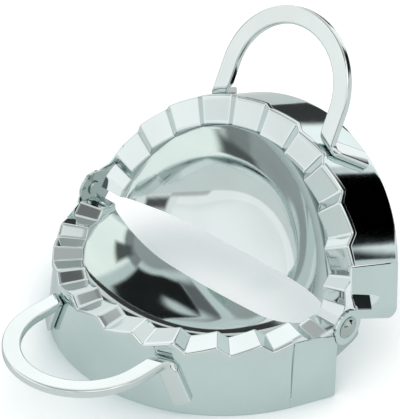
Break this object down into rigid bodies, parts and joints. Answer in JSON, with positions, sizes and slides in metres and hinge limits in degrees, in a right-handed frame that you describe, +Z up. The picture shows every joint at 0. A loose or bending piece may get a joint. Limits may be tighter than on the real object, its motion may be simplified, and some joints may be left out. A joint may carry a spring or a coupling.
{
  "type": "empanada press",
  "caption": "Folding turnover press and cutter: half-round fluted dishes on cutter rings, hinged at their ends by domed rivets, with looped bar handles, shown half open.",
  "frame": {"origin": "centre of the bounding box's bottom face in the half-open rest pose, on the table plane under the lower cutting edge", "axes": "+Z up from the table, +X along the hinge line from the left rivet to the right rivet, +Y from the lower half's handle towards the raised upper half"},
  "size_m": [0.1248, 0.138, 0.1036],
  "materials": {
    "cutter_steel": "mirror-polished stainless sheet",
    "dish_steel": "mirror-polished pressed stainless sheet",
    "handle_steel": "polished stainless flat bar",
    "plate_steel": "polished stainless sheet",
    "backing_steel": "dark unpolished sheet",
    "rivet_steel": "polished stainless rivet"
  },
  "bodies": {
    "lower_half": {"lower_cutter_band": "cutter_steel", "lower_dish": "dish_steel", "lower_handle": "handle_steel", "lower_hinge_plate": "plate_steel", "lower_backing_plate": "backing_steel", "left_rivet": "rivet_steel", "right_rivet": "rivet_steel"},
    "upper_half": {"upper_cutter_band": "cutter_steel", "upper_dish": "dish_steel", "upper_handle": "handle_steel", "upper_hinge_plate": "plate_steel", "upper_backing_plate": "backing_steel"}
  },
  "joints": [
    {"name": "hinge", "type": "hinge", "parent": "lower_half", "child": "upper_half", "pos_m": [0, 0.02113, 0.025], "axis": [1, 0, 0], "range_deg": [-63.5, 116.5]}
  ]
}
